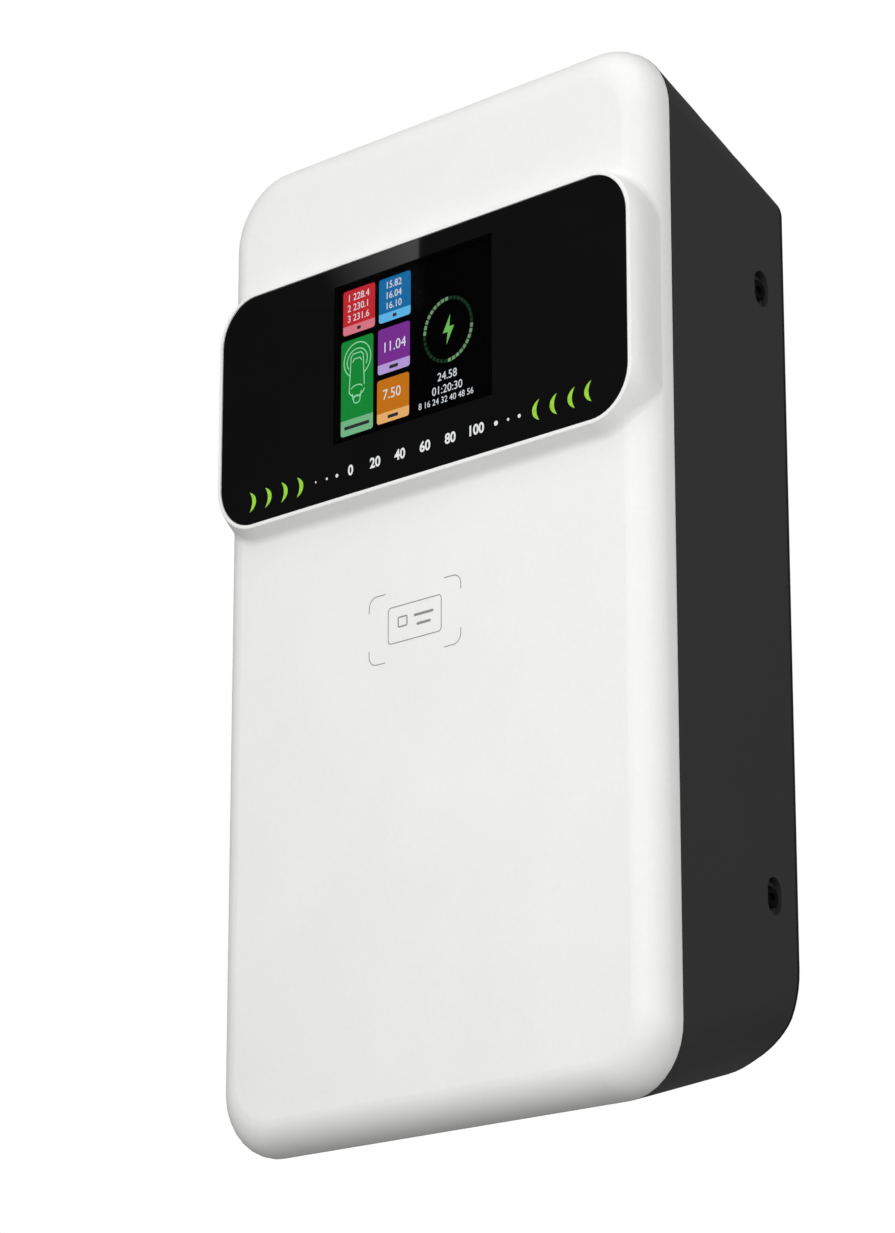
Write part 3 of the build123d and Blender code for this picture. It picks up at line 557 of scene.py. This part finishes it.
# Each tile has its left, right, lower and upper edge and the height of its strip, all in
# millimetres, and then the deep colour of the tile and the pale one of the strip.
tiles = {
    "voltage": ((-37.3, -21.9, 100.8, 116.9), 3.2, (0.58, 0.022, 0.032), (0.75, 0.2, 0.26)),
    "current": ((-19.9, -4.8, 100.9, 116.7), 3.2, (0.008, 0.155, 0.4), (0.12, 0.5, 0.87)),
    "plug": ((-38.1, -22.6, 64.5, 98.7), 5.6, (0.008, 0.26, 0.04), (0.185, 0.51, 0.25)),
    "power": ((-20.3, -5.1, 82.5, 98.7), 3.5, (0.2, 0.03, 0.3), (0.5, 0.36, 0.75)),
    "energy": ((-20.6, -5.4, 64.9, 80.5), 3.6, (0.6, 0.18, 0.008), (0.87, 0.46, 0.16)),
}
tile_glow = 0.95
for tile_name, ((left, right, bottom, top), strip, deep_colour, pale_colour) in tiles.items():
    width, height, strip_height = (right - left) * mm, (top - bottom) * mm, strip * mm
    middle = (left + right) / 2 * mm
    lower = rounded_face(width, strip_height, tile_corner, ("low",))
    stand(lower, middle, bottom * mm + strip_height / 2, screen_face, field_thickness)
    pale_field = glow_finish(f"{tile_name}_pale_field", pale_colour, tile_glow, deep=0.9)
    raise_piece(lower, f"{tile_name}_strip", pale_field)
    upper = rounded_face(width, height - strip_height, tile_corner, ("high",))
    stand(upper, middle, bottom * mm + (height + strip_height) / 2, screen_face, field_thickness)
    lit_field = glow_finish(f"{tile_name}_lit_field", deep_colour, tile_glow, deep=0.88)
    raise_piece(upper, f"{tile_name}_tile", lit_field)

# Readings on the tiles: plain figures in pale light, three rows on the upper two tiles
# and a single one on two more. They are lit pixels, so they stand out by next to nothing.
figure_face = screen_face - field_thickness
pale_light = glow_finish("pale_figures", (0.82, 0.86, 0.9), strength=0.9, deep=0.85)
reading_rows = {
    "voltage": (-29.9, ("1 228.4", "2 230.1", "3 231.6")),
    "current": (-12.9, ("15.82", "16.04", "16.10")),
}
first_row_z, row_step, row_height = 113.9 * mm, 3.75 * mm, 2.5 * mm
for tile_name, (row_x, readings) in reading_rows.items():
    for row, reading in enumerate(readings):
        numerals(f"{tile_name}_row_{row + 1}", reading, row_x * mm, first_row_z - row_step * row, row_height,
                 figure_face, pale_light)
single_readings = {"power": ("11.04", -12.5, 91.6), "energy": ("7.50", -13.6, 74.7)}
single_height = 3.6 * mm
for tile_name, (reading, reading_x, reading_z) in single_readings.items():
    numerals(f"{tile_name}_reading", reading, reading_x * mm, reading_z * mm, single_height, figure_face,
             pale_light)

# Strip bars: a dark bar in the middle of each pale strip, with a length of its own. They are
# dark pixels of the screen, so they stand out by next to nothing.
bar_ink = ink_finish("dark_strip_bar", (0.02, 0.02, 0.03))
strip_bar_lengths = {"voltage": 1.8, "current": 1.8, "power": 4.2, "energy": 5.0, "plug": 12.0}
strip_bar_height, strip_bar_corner = 1.2 * mm, 0.4 * mm
for tile_name, bar_length in strip_bar_lengths.items():
    (left, right, bottom, top), strip = tiles[tile_name][:2]
    strip_bar = rounded_face(bar_length * mm, strip_bar_height, strip_bar_corner)
    stand(strip_bar, (left + right) / 2 * mm, (bottom + strip / 2) * mm, figure_face, print_thickness)
    raise_piece(strip_bar, f"{tile_name}_strip_bar", bar_ink)


# Plug sign: a connector on its grip in front of two open hoops, drawn on the tall tile in
# thin pale lines of lit pixels.
def drawn_line(points, line, y):
    """Thin flat line along points of a plane that faces the front, given in millimetres."""
    places = [Vector((x * mm, z * mm, 0)) for x, z in points]
    steps = [(after - before).normalized() for before, after in zip(places, places[1:])]
    turns = [(first + second).normalized() for first, second in zip([steps[0], *steps], [*steps, steps[-1]])]
    made = bmesh.new()
    edge_pairs = []
    for spot, turn in zip(places, turns):
        across_line = Vector((-turn.y, turn.x, 0)) * line / 2
        edge_pairs.append([made.verts.new(spot + across_line), made.verts.new(spot - across_line)])
    for (a, b), (c, d) in zip(edge_pairs, edge_pairs[1:]):
        made.faces.new([a, c, d, b])
    bmesh.ops.recalc_face_normals(made, faces=made.faces)
    stand(made, 0, 0, y, print_thickness)
    return made


def bow(x, z, wide, tall, first_turn, last_turn, steps=24):
    """Points of a part of an oval, in millimetres and degrees."""
    turns = [math.radians(first_turn + (last_turn - first_turn) * step / steps) for step in range(steps + 1)]
    return [(x + wide * math.cos(turn), z + tall * math.sin(turn)) for turn in turns]


sign_light = glow_finish("pale_green_sign", (0.36, 0.84, 0.46), strength=0.9, deep=0.75)
sign_line = 0.4 * mm
sign_lines = [
    bow(-30.2, 90.9, 6.5, 6.2, -62, 235),
    bow(-30.3, 90.6, 4.9, 4.3, -30, 212),
    [(-34.1, 79.6), (-33.3, 92.2), (-32.3, 93.3), (-28.4, 93.3), (-27.4, 92.2), (-26.8, 81.3)],
    [(-32.5, 90.3), (-31.8, 91.4), (-28.9, 91.4), (-28.2, 90.3)],
    bow(-30.4, 80.4, 3.7, 2.6, 190, 350),
    bow(-30.4, 80.6, 2.7, 1.2, 10, 170),
    [(-32.6, 79.0), (-32.2, 76.8)],
    [(-28.2, 79.4), (-28.7, 77.2)],
    bow(-30.4, 76.7, 1.6, 1.4, 0, 360),
]
sign = [drawn_line(points, sign_line, figure_face) for points in sign_lines]
raise_piece(merge(sign), "plug_sign", sign_light)

# Charge ring: short lit segments around a bolt, bright in two stretches and dim in the
# two between, with three lines of figures below it.
ring_x, ring_z = 12.9 * mm, 90.8 * mm
ring_radius, ring_line = 11.6 * mm, 1.2 * mm
ring_bright_turn = math.radians(128)
ring_segments = 36
segment_gap_share = 0.24
ring_glow, ring_spot = 0.95, 2 * mm
bright_green = glow_finish("bright_ring_light", (0.22, 0.43, 0.22), ring_glow, deep=0.4, spot=ring_spot)
dim_green = glow_finish("dim_ring_light", (0.011, 0.04, 0.018), ring_glow, deep=0.6, spot=ring_spot)
bright, dim = [], []
for index in range(ring_segments):
    start = 2 * math.pi * index / ring_segments
    segment = bmesh.new()
    ends = [segment.verts.new((radius * math.cos(start), radius * math.sin(start), 0))
            for radius in (ring_radius - ring_line, ring_radius)]
    edge = segment.edges.new(ends)
    bmesh.ops.spin(segment, geom=[*ends, edge], cent=(0, 0, 0), axis=(0, 0, 1), steps=3,
                   angle=2 * math.pi / ring_segments * (1 - segment_gap_share))
    stand(segment, ring_x, ring_z, screen_face, field_thickness)
    lit = math.cos(2 * (start - ring_bright_turn)) > 0
    (bright if lit else dim).append(segment)
raise_piece(merge(bright), "charge_ring_bright", bright_green)
raise_piece(merge(dim), "charge_ring_dim", dim_green)
bolt_height, bolt_width = 10.2 * mm, 5.2 * mm
bolt_aside, bolt_lift = 0.2 * mm, -0.1 * mm
bolt_shares = ((0.15, 0.5), (-0.5, -0.08), (-0.06, -0.08), (-0.17, -0.5), (0.5, 0.1), (0.07, 0.1))
bolt = bmesh.new()
bolt.faces.new([bolt.verts.new((x * bolt_width, y * bolt_height, 0)) for x, y in bolt_shares])
stand(bolt, ring_x + bolt_aside, ring_z + bolt_lift, screen_face, field_thickness)
bolt_green = glow_finish("bolt_light", (0.165, 0.55, 0.11), ring_glow, deep=0.85)
raise_piece(bolt, "charge_bolt", bolt_green)
ring_readings = (("24.58", 12.5, 74.7, 2.9), ("01:20:30", 12.5, 70.1, 2.9),
                 ("8 16 24 32 40 48 56", 11.9, 66.4, 2.2))
for row, (reading, row_x, row_z, height) in enumerate(ring_readings):
    numerals(f"ring_reading_{row + 1}", reading, row_x * mm, row_z * mm, height * mm, screen_face,
             pale_light)


# Studio: a white floor far below the box, soft lights around it and one under it, and a
# dark card with a lit one in front of it, both of which only the polished lens mirrors.
def stage_card(name, material, width, height, centre, target):
    """Flat card of the studio that faces a point."""
    made = bmesh.new()
    bmesh.ops.create_grid(made, x_segments=1, y_segments=1, size=0.5)
    bmesh.ops.scale(made, vec=(width, height, 1), verts=made.verts)
    turn = (Vector(target) - Vector(centre)).to_track_quat("Z", "Y").to_matrix()
    bmesh.ops.rotate(made, cent=(0, 0, 0), matrix=turn, verts=made.verts)
    bmesh.ops.translate(made, vec=centre, verts=made.verts)
    mesh = bpy.data.meshes.new(name)
    made.to_mesh(mesh)
    made.free()
    mesh.materials.append(material)
    card = bpy.data.objects.new(name, mesh)
    bpy.context.scene.collection.objects.link(card)
    return card


def mirrored_only(card):
    """Leaves a card to reflections, so that it lights and hides nothing."""
    for kind in ("camera", "diffuse", "shadow", "transmission", "volume_scatter"):
        setattr(card, f"visible_{kind}", False)


floor_z, floor_size = -3, 30
no_light, full_light = (0, 0, 0, 1), (1, 1, 1, 1)
floor_paint, floor_shader, place = start_finish(
    "pale_floor", {"Roughness": 0.8, "Specular IOR Level": 0.1, "Emission Strength": 1.0})
floor_dull, floor_clean = (0.78, 0.78, 0.775, 1), (0.8, 0.8, 0.795, 1)
place.noise(0.3).blend(floor_dull, floor_clean).drives(floor_shader, "Base Color")
floor_tree = floor_paint.node_tree
floor_paths = floor_tree.nodes.new("ShaderNodeLightPath").outputs
seen, through = [Field(floor_tree, floor_paths[f"Is {kind} Ray"]) for kind in ("Camera", "Transmission")]
shown = seen.math("MAXIMUM", seen, through)
shown.blend(no_light, full_light).drives(floor_shader, "Emission Color")
stage_card("floor", floor_paint, floor_size, floor_size, (0, 0, floor_z), (0, 0, 0))

# Cards: they stand on the way from the lens to what it mirrors for the camera, and the lit
# one is shifted aside and up from there, square to that way.
lens_middle = Vector((0, lens_face, (lens_low.z + lens_high.z) / 2))
mirror_way = Vector((-0.668, -0.661, 0.342))
dark_card_distance = 1.0
dark_card_size = 0.9
dark_paint, dark_shader, place = start_finish("dark_card", {"Roughness": 1.0, "Specular IOR Level": 0.0})
card_black, card_dusty = (0.001, 0.001, 0.001, 1), (0.002, 0.002, 0.002, 1)
place.noise(0.2).blend(card_black, card_dusty).drives(dark_shader, "Base Color")
mirrored_only(stage_card("dark_card", dark_paint, dark_card_size, dark_card_size,
                         lens_middle + mirror_way * dark_card_distance, lens_middle))
lit_card_distance = 0.6
lit_card_size = (60 * mm, 60 * mm)
lit_card_shift = (24.6 * mm, 50 * mm)
aside = Vector((-0.7034, 0.7109, 0))
above = Vector((0.2431, 0.2406, 0.9397))
lit_card_centre = (lens_middle + mirror_way * lit_card_distance + aside * lit_card_shift[0]
                   + above * lit_card_shift[1])
lit_card_glow = 1.6
lit_paint, lit_shader, place = start_finish("lit_card", {"Base Color": no_light,
                                                         "Emission Strength": lit_card_glow})
fade_left, fade_right = -0.4205, -0.3843
beside = place.axis("X")
fade = beside.node("ShaderNodeMapRange", {}, {"Value": beside, 1: fade_left, 2: fade_right})
fade.blend(no_light, full_light).drives(lit_shader, "Emission Color")
mirrored_only(stage_card("lit_card", lit_paint, *lit_card_size, lit_card_centre, lens_middle))


box_middle = Vector((0, 0, 0))


def area_light(name, size, power, centre):
    """Square softbox, in metres and watts, that points at the middle of the box."""
    lamp = bpy.data.lights.new(name, "AREA")
    lamp.size = size
    lamp.energy = power
    holder = bpy.data.objects.new(name, lamp)
    holder.location = centre
    holder.rotation_euler = (box_middle - Vector(centre)).to_track_quat("-Z", "Y").to_euler()
    bpy.context.scene.collection.objects.link(holder)


area_light("top_softbox", size=1.0, power=10.5, centre=(0.1, -0.9, 1.7))
area_light("left_softbox", size=1.0, power=14.5, centre=(-0.8, -1.6, 0.9))
area_light("right_softbox", size=1.0, power=11.5, centre=(1.4, -1.4, 0.4))
area_light("side_softbox", size=1.0, power=12, centre=(2.0, -0.4, 0.3))
area_light("low_glow", size=0.3, power=0.45, centre=(0.12, -0.5, -0.1))
area_light("floor_softbox", size=1.2, power=2.6, centre=(0, -0.6, -1.2))

world = bpy.data.worlds.new("studio")
world.use_nodes = True
bpy.context.scene.world = world
sky = world.node_tree.nodes["Background"]
paths = world.node_tree.nodes.new("ShaderNodeLightPath").outputs
direct = Field(world.node_tree, paths["Is Camera Ray"])
clear = Field(world.node_tree, paths["Is Transmission Ray"])
soft_level = 0.12
(soft_level + (1 - soft_level) * direct.math("MAXIMUM", direct, clear)).drives(sky, "Strength")
sky.inputs["Color"].default_value = full_light

# Camera: to the right of the box and below its middle, looking up at it through a long
# lens that is shifted a little, as a shot that was cropped afterwards is.
camera_place = (0.988, -1.079, -0.419)
camera_yaw, camera_pitch, camera_roll = math.radians(44.96), math.radians(17.44), math.radians(0.18)
photo_focal_pixels, photo_long_side = 4439, 1233
camera_shift = (38.2 / photo_long_side, -80.8 / photo_long_side)
lens_data = bpy.data.cameras.new("camera")
lens_data.sensor_width = 36
lens_data.lens = photo_focal_pixels / photo_long_side * lens_data.sensor_width
lens_data.shift_x, lens_data.shift_y = camera_shift
camera = bpy.data.objects.new("camera", lens_data)
camera.location = camera_place
turn = (Matrix.Rotation(camera_yaw, 3, "Z") @ Matrix.Rotation(math.pi / 2 + camera_pitch, 3, "X")
        @ Matrix.Rotation(camera_roll, 3, "Z"))
camera.rotation_euler = turn.to_euler()
bpy.context.scene.collection.objects.link(camera)
bpy.context.scene.camera = camera
bpy.context.scene.view_settings.view_transform = "Standard"
